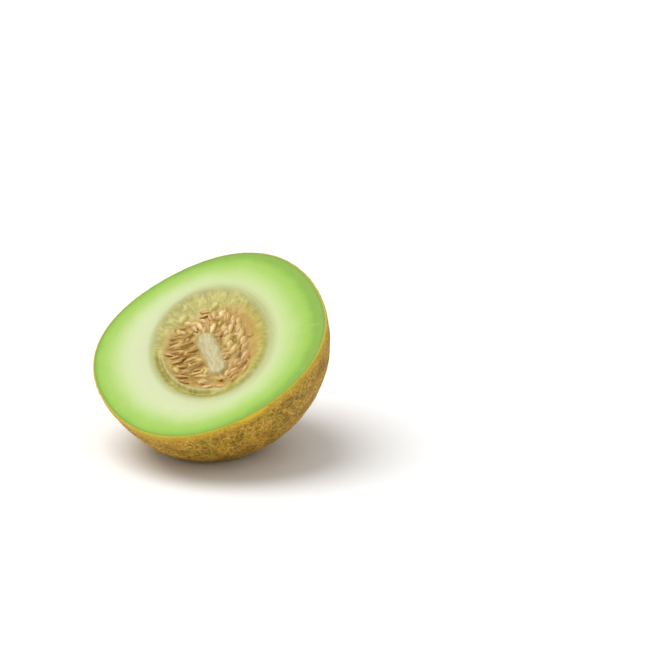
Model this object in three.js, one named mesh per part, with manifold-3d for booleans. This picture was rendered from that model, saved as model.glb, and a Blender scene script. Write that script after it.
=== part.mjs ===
// Half a netted, green-fleshed melon, cut from end to end and lying on its rind.
//
// The rind and the flesh are one piece, as they grew. The cut opens the seed cavity, which
// holds a soft mass of pulp with a pale core, and the seeds sit half sunk in that pulp.
//
// Units are millimetres and +Z is up. Shapes are made in the melon's own frame: X across the
// cut face, Y along the melon toward its stem end, Z straight out of the face, with the origin
// at the middle of the face. One group then leans that frame back into the resting pose.

import * as THREE from "three";
import { mergeVertices } from "three/addons/utils/BufferGeometryUtils.js";
import Module from "manifold-3d";

const wasm = await Module();
wasm.setup();

const { degToRad, lerp, seededRandom, smoothstep } = THREE.MathUtils;

// ---- The whole melon, and where the knife went ----
const MELON_ACROSS = 151.4;
const MELON_ALONG = 156.4;
const MELON_DEEP = 154;
const CENTRE_ABOVE_CUT = 5; // the melon's centre left with the other half

// Slow swellings round the melon that keep its outline from being a true oval.
const SWELLINGS = [
  { waves: 3, height: 0.7, crest: degToRad(38) },
  { waves: 4, height: 1.4, crest: degToRad(56) },
];

// ---- The resting pose ----
const FACE_LEAN = degToRad(31); // the face looks up, and this far over toward -Y
const MELON_TURN = degToRad(45); // from straight uphill to the melon's axis
const SPOT_SINK = 4.7; // how much of the round underside is pressed flat
const SPOT_SOFTNESS = 1.1; // half the height over which the flat spot rounds into the rind

// ---- The seed cavity ----
const CAVITY_ACROSS = 73;
const CAVITY_ALONG = 97;
const CAVITY_DEPTH = 31;
const CAVITY_CENTRE = new THREE.Vector2(0.5, -1.5);
const CAVITY_LIP = 1.5; // radius of the soft edge where the cavity meets the cut face

// ---- The pulp and its core ----
const FIT_GAP = 0.35; // between pieces that touch
const PULP_CROWN_DROP = 4; // below the cut face, over the middle of the mass
const PULP_SHOULDER = [0.62, 0.95]; // shares of the cavity's width between crown and edge
const CORE_LENGTH = 38;
const CORE_WIDTH = 11;
const CORE_CENTRE = new THREE.Vector3(-1.2, -9, -5.2);
const CORE_TURN = degToRad(4);
const CORE_FLATNESS = 0.8;

// ---- The seeds ----
const SEED_LENGTH = 10.4;
const SEED_WIDTH = 4.4;
const SEED_THICKNESS = 2.1;
const SEED_COUNT = 56;
const SEED_BED = { x: -2, y: -6, across: 25, along: 36 }; // the oval that the seeds fill
const SEED_STEP = 3.3; // from one station to the next along the melon

// Loose seeds on top of the pulp at its two ends: where, and which way the blunt end points.
const END_SEEDS = [
  { x: 14, y: 36.5, heading: degToRad(8) },
  { x: 3, y: 34, heading: degToRad(70) },
  { x: -10, y: 35, heading: degToRad(35) },
  { x: 4.5, y: 13.5, heading: degToRad(-25) },
  { x: -3, y: 19, heading: degToRad(15) },
  { x: 8, y: 25, heading: degToRad(-10) },
  { x: -9, y: 25.5, heading: degToRad(40) },
  { x: -4, y: -37.5, heading: degToRad(58) },
  { x: -6.5, y: -43.5, heading: degToRad(62) },
];

// ---- How finely the surfaces are divided ----
const SIDES = 72;
const RIND_ROWS = 16;
const LIP_ROWS = 2;
const BOWL_ROWS = 9;
const PULP_EDGE_ROW = 1; // the bowl row at which the pulp's surface meets the wall
const PULP_TOP_ROWS = 8;
const SEED_SIDES = 6;
const SEED_ROWS = 5;

const pose = new THREE.Quaternion().setFromEuler(new THREE.Euler(FACE_LEAN, 0, MELON_TURN));
const up = new THREE.Vector3(0, 0, 1).applyQuaternion(pose.clone().invert());
const faceNormal = new THREE.Vector3(0, 0, 1);

// How far below the middle of the cut face the surface under the melon lies.
const roundDepth = Math.hypot(
  (MELON_ACROSS / 2) * up.x,
  (MELON_ALONG / 2) * up.y,
  (MELON_DEEP / 2) * up.z,
);
const floorLevel = CENTRE_ABOVE_CUT * up.z - roundDepth + SPOT_SINK;

// A closed surface through rings of points, from a first pole to a last one. Each ring runs
// counter-clockwise as seen from the last pole's side.
function closedSurface(firstPole, rings, lastPole) {
  const points = [firstPole, ...rings.flat(), lastPole];
  const at = (ring, side) => 1 + ring * SIDES + (side % SIDES);
  const last = points.length - 1;
  const triangles = [];
  for (let side = 0; side < SIDES; side++) {
    triangles.push(0, at(0, side + 1), at(0, side));
    for (let ring = 1; ring < rings.length; ring++) {
      triangles.push(at(ring - 1, side), at(ring - 1, side + 1), at(ring, side + 1));
      triangles.push(at(ring - 1, side), at(ring, side + 1), at(ring, side));
    }
    triangles.push(at(rings.length - 1, side), at(rings.length - 1, side + 1), last);
  }
  return new THREE.BufferGeometry().setFromPoints(points).setIndex(triangles);
}

// Distance from the middle of the cut face to the rind, along a unit direction.
function rindRadius(direction) {
  const square = (length) => length * length;
  const spread =
    square(direction.x / (MELON_ACROSS / 2)) +
    square(direction.y / (MELON_ALONG / 2)) +
    square(direction.z / (MELON_DEEP / 2));
  const rise = (direction.z * CENTRE_ABOVE_CUT) / square(MELON_DEEP / 2);
  const inside = 1 - square(CENTRE_ABOVE_CUT / (MELON_DEEP / 2));
  let radius = (rise + Math.sqrt(square(rise) + spread * inside)) / spread;
  const around = Math.atan2(direction.y, direction.x);
  const nearRim = Math.hypot(direction.x, direction.y);
  for (const { waves, height, crest } of SWELLINGS) {
    radius += height * nearRim ** waves * Math.cos(waves * (around - crest));
  }
  return radius;
}

// Lifts a point of the underside to the surface that the melon rests on.
function pressFlat(point) {
  const height = point.dot(up) - floorLevel;
  if (height >= SPOT_SOFTNESS) return point;
  const blend = (height + SPOT_SOFTNESS) ** 2 / (4 * SPOT_SOFTNESS);
  const pressed = height <= -SPOT_SOFTNESS ? 0 : blend;
  return point.addScaledVector(up, pressed - height);
}

// Rings on the rind from the ground up to the rim of the cut face. They are circles round the
// flat spot at first, and take the rim's own shape as they reach it.
function rindRings() {
  const down = up.clone().negate();
  const forward = faceNormal.clone().addScaledVector(up, -up.z).normalize();
  const sideways = new THREE.Vector3().crossVectors(up, forward);
  const rings = [];
  for (let row = 1; row <= RIND_ROWS; row++) {
    const share = row / RIND_ROWS;
    const ring = [];
    for (let side = 0; side < SIDES; side++) {
      const around = (2 * Math.PI * side) / SIDES;
      const rimAngle = Math.atan2(up.z, Math.cos(around) * forward.z);
      const angle = share * lerp(Math.PI / 2, rimAngle, share);
      const direction = down
        .clone()
        .multiplyScalar(Math.cos(angle))
        .addScaledVector(forward, Math.sin(angle) * Math.cos(around))
        .addScaledVector(sideways, Math.sin(angle) * Math.sin(around));
      ring.push(pressFlat(direction.multiplyScalar(rindRadius(direction))));
    }
    rings.push(ring);
  }
  rings.at(-1).forEach((point) => point.setZ(0));
  return rings;
}

// A point of the cavity's wall: around it in radians, and down it from 0 at the lip to 1.
function bowlPoint(around, down, gap = 0) {
  const drop = (down * Math.PI) / 2;
  const reach = Math.cos(drop);
  return new THREE.Vector3(
    CAVITY_CENTRE.x + (CAVITY_ACROSS / 2 - gap) * reach * Math.cos(around),
    CAVITY_CENTRE.y + (CAVITY_ALONG / 2 - gap) * reach * Math.sin(around),
    -CAVITY_LIP - (CAVITY_DEPTH - CAVITY_LIP - gap) * Math.sin(drop),
  );
}

// Rings from the cut face over the soft lip and down the cavity's wall.
function cavityRings(angles) {
  const rings = [];
  for (let row = 0; row < LIP_ROWS; row++) {
    const turn = ((row / LIP_ROWS) * Math.PI) / 2;
    const outward = CAVITY_LIP * (1 - Math.sin(turn));
    const drop = CAVITY_LIP * (1 - Math.cos(turn));
    rings.push(angles.map((around) => bowlPoint(around, 0, -outward).setZ(-drop)));
  }
  for (let row = 0; row < BOWL_ROWS; row++) {
    rings.push(angles.map((around) => bowlPoint(around, row / BOWL_ROWS)));
  }
  return rings;
}

// Rind and flesh in one piece, with the cavity open at the cut face.
function melonHalf() {
  const rind = rindRings();
  const angles = rind.at(-1).map((point) => Math.atan2(point.y, point.x));
  const down = up.clone().negate();
  const ground = pressFlat(down.clone().multiplyScalar(rindRadius(down)));
  return closedSurface(ground, [...rind, ...cavityRings(angles)], bowlPoint(0, 1));
}

// Height of the pulp's surface, from its share of the cavity's width.
function pulpHeight(share, edgeHeight) {
  return lerp(-PULP_CROWN_DROP, edgeHeight, smoothstep(share, ...PULP_SHOULDER));
}

// The soft mass that fills the cavity, without its core.
function pulpBed() {
  const angles = Array.from({ length: SIDES }, (_, side) => (2 * Math.PI * side) / SIDES);
  const rings = [];
  for (let row = BOWL_ROWS - 1; row >= PULP_EDGE_ROW; row--) {
    rings.push(angles.map((around) => bowlPoint(around, row / BOWL_ROWS, FIT_GAP)));
  }
  const edge = rings.at(-1);
  for (let row = PULP_TOP_ROWS - 1; row > 0; row--) {
    const share = row / PULP_TOP_ROWS;
    const height = pulpHeight(share, edge[0].z);
    const inward = (point) =>
      new THREE.Vector3(
        lerp(CAVITY_CENTRE.x, point.x, share),
        lerp(CAVITY_CENTRE.y, point.y, share),
        height,
      );
    rings.push(edge.map(inward));
  }
  const crown = new THREE.Vector3(CAVITY_CENTRE.x, CAVITY_CENTRE.y, -PULP_CROWN_DROP);
  return closedSurface(bowlPoint(0, 1, FIT_GAP), rings, crown);
}

// The pale core, a flattened bar with round ends that stands up from the pulp.
function coreBar() {
  const bar = new THREE.CapsuleGeometry(CORE_WIDTH / 2, CORE_LENGTH - CORE_WIDTH, 4, 16);
  bar.scale(1, 1, CORE_FLATNESS).rotateZ(CORE_TURN);
  return bar.translate(CORE_CENTRE.x, CORE_CENTRE.y, CORE_CENTRE.z);
}

// A flat drop, pointed at one end: length along Y with the blunt end at +Y, width along X.
function seedShape(gap = 0) {
  const profile = [];
  for (let row = 0; row <= SEED_ROWS; row++) {
    const share = row / SEED_ROWS;
    const swell = row === SEED_ROWS ? 0 : Math.sin(Math.PI * share ** 1.35) ** 0.8;
    const along = (share - 0.5) * (SEED_LENGTH + 2 * gap);
    profile.push(new THREE.Vector2((swell * SEED_WIDTH) / 2 + (swell > 0 ? gap : 0), along));
  }
  const width = SEED_WIDTH + 2 * gap;
  const thickness = SEED_THICKNESS + 2 * gap;
  return new THREE.LatheGeometry(profile, SEED_SIDES).scale(1, 1, thickness / width);
}

// A geometry as a solid that can be joined and cut.
function solidOf(geometry) {
  const bare = geometry.index ? geometry.toNonIndexed() : geometry.clone();
  bare.deleteAttribute("normal");
  bare.deleteAttribute("uv");
  const merged = mergeVertices(bare, 1e-4);
  return new wasm.Manifold(
    new wasm.Mesh({
      numProp: 3,
      vertProperties: merged.attributes.position.array,
      triVerts: new Uint32Array(merged.index.array),
    }),
  );
}

// A solid back as a geometry.
function geometryOf(solid) {
  const { vertProperties, triVerts } = solid.getMesh();
  return new THREE.BufferGeometry()
    .setAttribute("position", new THREE.BufferAttribute(vertProperties, 3))
    .setIndex(new THREE.BufferAttribute(triVerts, 1));
}

// Steady random numbers from -1 to 1.
function makeScatter(seed) {
  seededRandom(seed);
  return () => 2 * seededRandom() - 1;
}

// Where a seed might lie. The ones on the left of the core lie across the melon on edge, as in
// a comb, and the ones on the right lean toward the stem end with a flat side showing.
function* seedSeats() {
  const scatter = makeScatter(7);
  for (const { x, y, heading } of END_SEEDS) {
    const pitch = degToRad(8 * scatter());
    yield { x, y, heading, lift: 0.7, pitch, roll: degToRad(30 * scatter()) };
  }
  const stations = Math.floor((2 * SEED_BED.along) / SEED_STEP);
  for (const rank of [0.78, 0.3, 0.55]) {
    for (let station = 0; station <= stations; station++) {
      for (const side of [-1, 1]) {
        const along = SEED_BED.along - station * SEED_STEP + 1.2 * scatter();
        const level = THREE.MathUtils.clamp(along / SEED_BED.along, -1, 1);
        const reach = SEED_BED.across * Math.sqrt(1 - level ** 2);
        const y = SEED_BED.y + along;
        const coreX = CORE_CENTRE.x - (y - CORE_CENTRE.y) * Math.tan(CORE_TURN);
        const inner = side * CORE_WIDTH * 0.75 + THREE.MathUtils.clamp(coreX, -9, 7);
        const x = lerp(inner, SEED_BED.x + side * reach, rank) + scatter();
        const leftLean = lerp(38, 6, smoothstep(level, -1, 0.1));
        const rightLean = lerp(38, 72, (level + 1) / 2);
        const lean = degToRad((side < 0 ? leftLean : rightLean) + 11 * scatter());
        yield {
          x,
          y,
          lift: 0.5 + 0.6 * scatter(),
          heading: side * (lean - Math.PI / 2),
          pitch: degToRad(9 * scatter()),
          roll: degToRad(side < 0 ? 62 + 18 * scatter() : 35 + 25 * scatter()),
        };
      }
    }
  }
}

const flesh = { color: 0xcde39a, roughness: 0.45, metalness: 0 };
const pulp = { color: 0xb89a55, roughness: 0.35, metalness: 0 };
const kernel = { color: 0xdcb57c, roughness: 0.4, metalness: 0 };

// A named mesh of its own material.
function piece(name, geometry, look) {
  geometry.computeVertexNormals();
  const mesh = new THREE.Mesh(geometry, new THREE.MeshStandardMaterial(look));
  mesh.name = name;
  return mesh;
}

// Turns and moves a seed, or the pocket round it, into a seat.
function seatMatrix(seat) {
  const turn = new THREE.Euler(seat.pitch, seat.roll, seat.heading, "ZXY");
  const share = Math.hypot(
    (seat.x - CAVITY_CENTRE.x) / (CAVITY_ACROSS / 2),
    (seat.y - CAVITY_CENTRE.y) / (CAVITY_ALONG / 2),
  );
  const height = pulpHeight(share, bowlPoint(0, PULP_EDGE_ROW / BOWL_ROWS).z) + seat.lift;
  return new THREE.Matrix4().compose(
    new THREE.Vector3(seat.x, seat.y, height),
    new THREE.Quaternion().setFromEuler(turn),
    new THREE.Vector3(1, 1, 1),
  );
}

// Fills the bed with seeds, each clear of the core and of the seeds laid before it, and gives
// their places.
function laySeeds() {
  const core = solidOf(coreBar());
  const laid = [];
  for (const seat of seedSeats()) {
    if (laid.length === SEED_COUNT) break;
    const matrix = seatMatrix(seat);
    const pocket = solidOf(seedShape(FIT_GAP).applyMatrix4(matrix));
    const free = [core, ...laid.map((seed) => seed.solid)].every((other) =>
      pocket.intersect(other).isEmpty(),
    );
    if (free) laid.push({ matrix, pocket, solid: solidOf(seedShape().applyMatrix4(matrix)) });
  }
  return laid;
}

const leaning = new THREE.Group();
leaning.quaternion.copy(pose);
leaning.add(piece("melon_half", melonHalf(), flesh));

let seedPulp = solidOf(pulpBed()).add(solidOf(coreBar()));
laySeeds().forEach(({ matrix, pocket }, index) => {
  seedPulp = seedPulp.subtract(pocket);
  const seed = piece(`seed_${String(index + 1).padStart(2, "0")}`, seedShape(), kernel);
  seed.applyMatrix4(matrix);
  leaning.add(seed);
});
leaning.add(piece("seed_pulp", geometryOf(seedPulp), pulp));

// The part's origin is on the ground, under the middle of the melon.
const melon = new THREE.Group();
melon.add(leaning);
leaning.position.z = -floorLevel;
const box = new THREE.Box3().setFromObject(melon, true);
leaning.position.x -= (box.min.x + box.max.x) / 2;
leaning.position.y -= (box.min.y + box.max.y) / 2;

export default melon;
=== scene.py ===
"""Half a netted melon with green flesh, lying on its rind in a plain studio.

The frame gives the half, the pulp in its seed cavity and the seeds as plain solids. Each is
replaced here by a finished piece of the same size and in the same place: a rind with a raised
net, a cut face with its flesh, stringy wet pulp with a pale core, and seeds of their own form.

Shapes are worked out in the melon's own frame, in millimetres: X across the cut face, Y along
the melon toward its stem end, Z straight out of the face, with the origin at the middle of the
face. MelonForm.settle turns them into the resting pose, in metres, where the frame has them.
"""

import logging
import math
from dataclasses import dataclass, field
from enum import Enum
from typing import Any, Callable, Sequence

import bpy
import numpy as np
from mathutils import Euler, Matrix, Vector, kdtree, noise


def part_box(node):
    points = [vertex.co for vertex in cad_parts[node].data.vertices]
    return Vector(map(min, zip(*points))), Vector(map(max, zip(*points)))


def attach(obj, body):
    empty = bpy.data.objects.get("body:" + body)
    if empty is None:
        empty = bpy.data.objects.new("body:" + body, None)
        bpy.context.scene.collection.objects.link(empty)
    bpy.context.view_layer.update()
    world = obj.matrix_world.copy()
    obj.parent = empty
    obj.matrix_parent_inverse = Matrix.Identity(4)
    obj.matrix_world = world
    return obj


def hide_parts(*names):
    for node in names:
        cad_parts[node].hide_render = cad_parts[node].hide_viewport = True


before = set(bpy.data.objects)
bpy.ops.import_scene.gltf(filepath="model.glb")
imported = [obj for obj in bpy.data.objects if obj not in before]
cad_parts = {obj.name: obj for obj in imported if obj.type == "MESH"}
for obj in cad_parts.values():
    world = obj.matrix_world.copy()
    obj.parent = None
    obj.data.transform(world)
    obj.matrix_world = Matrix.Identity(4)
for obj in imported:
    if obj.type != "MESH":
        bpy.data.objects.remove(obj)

Array = np.ndarray
log = logging.getLogger("melon")

MM = 0.001
BODY = "root"
STUDIO_BRIGHTNESS = 1.22  # how far the light lifts a surface that faces it
SHEEN = 0.04  # share of the light that any damp surface mirrors over its own colour
OWN = "own_mm"  # attribute: place in the melon's own frame
NET = "net"  # attribute: 0 on bare skin, 1 on top of a ridge of the net
# Below MOUTH, REACH falls with depth down the cavity's wall, and the flesh's colour darkens with it
# as painted shade.
REACH = "reach"  # attribute: 0 deep in the cavity, MOUTH at its mouth, 1 at the rim
SPOKE = "spoke"  # attribute: cosine and sine of the way round, and how far out
PALE = "pale"  # attribute: how much of the pulp is pale core or membrane
# GREEN also rises in the groove on the lower left, where its olive stands for painted shade.
GREEN = "green"  # attribute: how green the pulp is, near the flesh
# The pulp's finish darkens these folds as painted shade.
CREASE_SHADE = "crease_shade"  # attribute: how deep in a fold of the pulp
# The pulp's finish lightens the tops of the swellings as a painted highlight.
SAC_HIGHLIGHT = "sac"  # attribute: how high on a swelling of the pulp
EDGE = "edge"  # attribute: 1 where the pulp has turned into plain flesh
PATCH = "patch"  # attribute: 1 on the rind's bare, bright patch
MARGIN = "rim"  # attribute: 1 on a seed's thin margin
TINT = "tint"  # attribute: 0 for a dark seed, 1 for a pale one
MOUTH = 0.15  # REACH where the flesh meets the cavity


class Slot(Enum):
    """The names of the material slots."""

    MELON = "melon"
    PULP = "pulp"
    SEED = "seed"


def tone(red: float, green: float, blue: float) -> tuple[float, float, float, float]:
    """The colour that looks as given, on a scale to 255, once lit and wet."""

    def linear(value: float) -> float:
        """One channel, from the screen's scale to the share of light that it gives back."""
        share = value / 255
        flat = share / 12.92 if share <= 0.04045 else ((share + 0.055) / 1.055) ** 2.4
        return max(flat - SHEEN, 0.004) / STUDIO_BRIGHTNESS

    return (linear(red), linear(green), linear(blue), 1.0)


def smoothstep(value: Array | float, low: float, high: float) -> Array:
    """0 below low, 1 above high, and a smooth curve between."""
    share = np.clip((value - low) / (high - low), 0, 1)
    return share * share * (3 - 2 * share)


def grain(points: Array, size: float, shift: float = 0.0) -> Array:
    """Soft random heights over points.

    Args:
        points: places, one to a row, in millimetres.
        size: width of one lump in millimetres.
        shift: moves the pattern, so that two calls differ.

    Returns:
        One number from about -1 to 1 for each point.
    """
    places = points / size + shift
    return np.fromiter((noise.noise(place) for place in places), float, len(places))


def rounds(count: int) -> Array:
    """Evenly spaced angles right round a circle, from the corner that a wrapped square has."""
    return -math.pi / 4 + 2 * math.pi * np.arange(count) / count


def circle(around: Array, out: Array | float, height: Array | float = 0.0) -> Array:
    """Points at angles round the origin, some way out and some way up."""
    level = np.broadcast_to(height, around.shape)
    return np.stack((out * np.cos(around), out * np.sin(around), level), 1)


def hump(value: Array, middle: float, width: float) -> Array:
    """1 at the middle, with a smooth fall to 0 on both sides."""
    return np.exp(-(((value - middle) / width) ** 2))


def grid_steps(points: Array, columns: int, rows: int) -> tuple[Array, Array]:
    """Counts which column and which row each point of a fresh square sheet is in."""
    share = (points[:, :2] + 1) / 2
    return tuple(np.rint(share * (columns, rows)).astype(int).T)


# ---------------------------------------------------------------------------------------
# Modelling tools
# ---------------------------------------------------------------------------------------


def deselect() -> None:
    """Leaves object mode with nothing selected."""
    if bpy.context.object and bpy.context.object.mode != "OBJECT":
        bpy.ops.object.mode_set(mode="OBJECT")
    bpy.ops.object.select_all(action="DESELECT")


def pick(*pieces: bpy.types.Object) -> None:
    """Selects only these objects, with the first one active."""
    deselect()
    for piece in pieces:
        piece.select_set(True)
    bpy.context.view_layer.objects.active = pieces[0]


def read_points(piece: bpy.types.Object) -> Array:
    """A mesh's vertices, one to a row."""
    flat = np.empty(len(piece.data.vertices) * 3)
    piece.data.vertices.foreach_get("co", flat)
    return flat.reshape(-1, 3)


def write_points(piece: bpy.types.Object, points: Array) -> None:
    """Moves a mesh's vertices."""
    piece.data.vertices.foreach_set("co", np.ascontiguousarray(points, np.float32).ravel())
    piece.data.update()


def store(piece: bpy.types.Object, numbers: dict[str, Any]) -> None:
    """Stores numbers on a mesh's points, under the names that the finishes read.

    Args:
        piece: the object.
        numbers: for each name one number for all points, or a number or a vector for each.
    """
    for name, values in numbers.items():
        values = np.asarray(values, np.float32)
        if values.ndim == 0:
            values = np.full(len(piece.data.vertices), values)
        kind, key = ("FLOAT", "value") if values.ndim == 1 else ("FLOAT_VECTOR", "vector")
        piece.data.attributes.new(name, kind, "POINT").data.foreach_set(key, values.ravel())


def read_numbers(piece: bpy.types.Object, name: str) -> Array:
    """The numbers stored for each vertex under a name."""
    values = np.empty(len(piece.data.vertices))
    piece.data.attributes[name].data.foreach_get("value", values)
    return values


def add_grid(name: str, columns: int, rows: int) -> bpy.types.Object:
    """A flat square sheet from -1 to 1, to be wrapped into a form."""
    deselect()
    bpy.ops.mesh.primitive_grid_add(x_subdivisions=columns, y_subdivisions=rows, size=2)
    sheet = bpy.context.object
    sheet.name = name
    return sheet


def join(pieces: Sequence[bpy.types.Object], name: str) -> bpy.types.Object:
    """Makes one object of several and names it."""
    pick(*pieces)
    bpy.ops.object.join()
    pieces[0].name = name
    return pieces[0]


def close_up(piece: bpy.types.Object, merge_within: float) -> None:
    """Merges the points that meet at seams and poles, and turns every face outward."""
    pick(piece)
    bpy.ops.object.mode_set(mode="EDIT")
    bpy.ops.mesh.select_all(action="SELECT")
    bpy.ops.mesh.remove_doubles(threshold=merge_within)
    bpy.ops.mesh.select_all(action="SELECT")
    bpy.ops.mesh.normals_make_consistent(inside=False)
    bpy.ops.object.mode_set(mode="OBJECT")


def smooth_shade(piece: bpy.types.Object, degrees: float = 50) -> None:
    """Smooth shading over everything but real edges."""
    pick(piece)
    bpy.ops.object.shade_smooth_by_angle(angle=math.radians(degrees))


def disc_from_square(points: Array) -> tuple[Array, Array]:
    """Wraps a square from -1 to 1 onto a round disc, keeping equal areas equal.

    Args:
        points: places on the square, one to a row.

    Returns:
        The distance from the middle, 0 to 1, and the way round in radians.
    """
    across, along = points[:, 0], points[:, 1]
    wide = np.abs(across) >= np.abs(along)
    radius = np.where(wide, across, along)
    safe = np.where(radius == 0, 1, radius)
    turn = np.where(wide, along / safe, 2 - across / safe) * math.pi / 4
    turn = np.where(radius < 0, turn + math.pi, turn)
    return np.abs(radius), turn


# ---------------------------------------------------------------------------------------
# Shader tools
# ---------------------------------------------------------------------------------------


class Wire:
    """One output socket. Python's sums on it add the Math nodes that do them."""

    def __init__(self, bench: "Bench", socket: bpy.types.NodeSocket) -> None:
        """Wraps a socket of a node on the bench."""
        self.bench = bench
        self.socket = socket

    def _sum(self, operation: str, first: Any, second: Any) -> "Wire":
        """Adds one Math node."""
        made = self.bench.node("ShaderNodeMath", {"operation": operation}, {0: first, 1: second})
        return Wire(self.bench, made.outputs[0])

    def __add__(self, other: Any) -> "Wire":
        """This plus other."""
        return self._sum("ADD", self, other)

    def __sub__(self, other: Any) -> "Wire":
        """This minus other."""
        return self._sum("SUBTRACT", self, other)

    def __rsub__(self, other: Any) -> "Wire":
        """Other minus this."""
        return self._sum("SUBTRACT", other, self)

    def __mul__(self, other: Any) -> "Wire":
        """This times other."""
        return self._sum("MULTIPLY", self, other)

    def least(self, other: Any) -> "Wire":
        """The smaller of this and other."""
        return self._sum("MINIMUM", self, other)

    def most(self, other: Any) -> "Wire":
        """The larger of this and other."""
        return self._sum("MAXIMUM", self, other)

    __radd__ = __add__
    __rmul__ = __mul__


class Bench:
    """A new material and the ways that nodes are added to it."""

    def __init__(self, name: str) -> None:
        """Starts a material with nothing but its output and one surface shader."""
        self.material = bpy.data.materials.new(name)
        self.material.use_nodes = True
        self.tree = self.material.node_tree
        self.tree.nodes.clear()
        self.surface = self.node("ShaderNodeBsdfPrincipled")
        output = self.node("ShaderNodeOutputMaterial")
        self.tree.links.new(self.surface.outputs[0], output.inputs["Surface"])

    def node(self, kind: str, settings: dict | None = None, sockets: dict | None = None) -> Any:
        """Adds a node.

        Args:
            kind: the node's type.
            settings: the node's own properties, set before its sockets.
            sockets: values or wires for its inputs, by name or number.

        Returns:
            The new node.
        """
        made = self.tree.nodes.new(kind)
        for key, value in (settings or {}).items():
            setattr(made, key, value)
        self.plug(made, sockets or {})
        return made

    def plug(self, node: bpy.types.Node, sockets: dict) -> None:
        """Sets or links a node's inputs."""
        for key, value in sockets.items():
            if isinstance(value, Wire):
                self.tree.links.new(value.socket, node.inputs[key])
            else:
                node.inputs[key].default_value = value

    def attribute(self, name: str, vector: bool = False) -> Wire:
        """Numbers stored on the piece's own points."""
        made = self.node("ShaderNodeAttribute", {"attribute_name": name})
        return Wire(self, made.outputs["Vector" if vector else "Fac"])

    def noise(
        self, where: Wire, size: float, detail: float = 3, rough: float = 0.5, bend: float = 0
    ) -> Wire:
        """Cloudy noise from 0 to 1, with lumps of the given size in the units of where."""
        sockets = {"Vector": where, "Scale": 1 / size, "Detail": detail}
        sockets |= {"Roughness": rough, "Distortion": bend}
        made = self.node("ShaderNodeTexNoise", {"noise_dimensions": "3D"}, sockets)
        return Wire(self, made.outputs["Fac"])

    def cells(self, where: Wire, size: float, feature: str = "F1") -> Wire:
        """Distance in a pattern of random cells of the given size."""
        sockets = {"Vector": where, "Scale": 1 / size}
        made = self.node("ShaderNodeTexVoronoi", {"feature": feature}, sockets)
        return Wire(self, made.outputs["Distance"])

    def stretch(self, where: Wire, scale: Sequence[float]) -> Wire:
        """A place with each of its coordinates multiplied."""
        settings = {"operation": "MULTIPLY"}
        made = self.node("ShaderNodeVectorMath", settings, {0: where, 1: tuple(scale)})
        return Wire(self, made.outputs[0])

    def part(self, where: Wire, axis: str) -> Wire:
        """One coordinate of a place."""
        made = self.node("ShaderNodeSeparateXYZ", None, {0: where})
        return Wire(self, made.outputs[axis])

    def step(self, value: Wire, low: float, high: float) -> Wire:
        """0 below low, 1 above high, and a smooth curve between."""
        settings = {"interpolation_type": "SMOOTHSTEP", "clamp": True}
        made = self.node("ShaderNodeMapRange", settings, {0: value, 1: low, 2: high})
        return Wire(self, made.outputs[0])

    def ramp(self, value: Wire, stops: Sequence[tuple[float, tuple]]) -> Wire:
        """Colour along a line of stops."""
        made = self.node("ShaderNodeValToRGB", None, {0: value})
        marks = made.color_ramp.elements
        while len(marks) < len(stops):
            marks.new(1.0)
        for mark, (place, colour) in zip(marks, stops):
            mark.position = place
            mark.color = colour
        return Wire(self, made.outputs[0])

    def mix(self, share: Wire | float, first: Any, second: Any, how: str = "MIX") -> Wire:
        """Blends two colours."""
        settings = {"data_type": "RGBA", "blend_type": how, "clamp_factor": True}
        made = self.node("ShaderNodeMix", settings, {0: share, 6: first, 7: second})
        return Wire(self, made.outputs[2])

    def bump(self, height: Wire, depth: float, strength: float = 1.0) -> None:
        """Gives the surface fine relief, depth metres from a height of 0 to one of 1."""
        sockets = {"Strength": strength, "Distance": depth, "Height": height}
        made = self.node("ShaderNodeBump", None, sockets)
        self.plug(self.surface, {"Normal": Wire(self, made.outputs[0])})

    def finished(
        self, colour: Wire, roughness: Wire, gloss: "Gloss | None" = None
    ) -> bpy.types.Material:
        """Feeds the surface shader and hands the material over.

        Args:
            colour: the wire for its colour.
            roughness: the wire for its roughness.
            gloss: what is the same all over, or None to leave the shader as it comes.

        Returns:
            The material.
        """
        self.plug(self.surface, {"Base Color": colour, "Roughness": roughness})
        if gloss:
            gloss.set_on(self)
        return self.material


@dataclass(frozen=True)
class Gloss:
    """The parts of a finish that are the same all over a surface."""

    under_scale: float = 0.0
    under_weight: float = 0.0
    under_radius: tuple[float, float, float] = (1.0, 0.8, 0.4)
    coat: float = 0.0
    coat_roughness: float = 0.1
    ior: float = 1.4
    mirror: float = 0.35

    def set_on(self, bench: Bench) -> None:
        """Sets the shader's own sockets."""
        bench.plug(
            bench.surface,
            {
                "Subsurface Weight": self.under_weight,
                "Subsurface Radius": self.under_radius,
                "Subsurface Scale": self.under_scale,
                "Coat Weight": self.coat,
                "Coat Roughness": self.coat_roughness,
                "IOR": self.ior,
                "Specular IOR Level": self.mirror,
            },
        )


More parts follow.
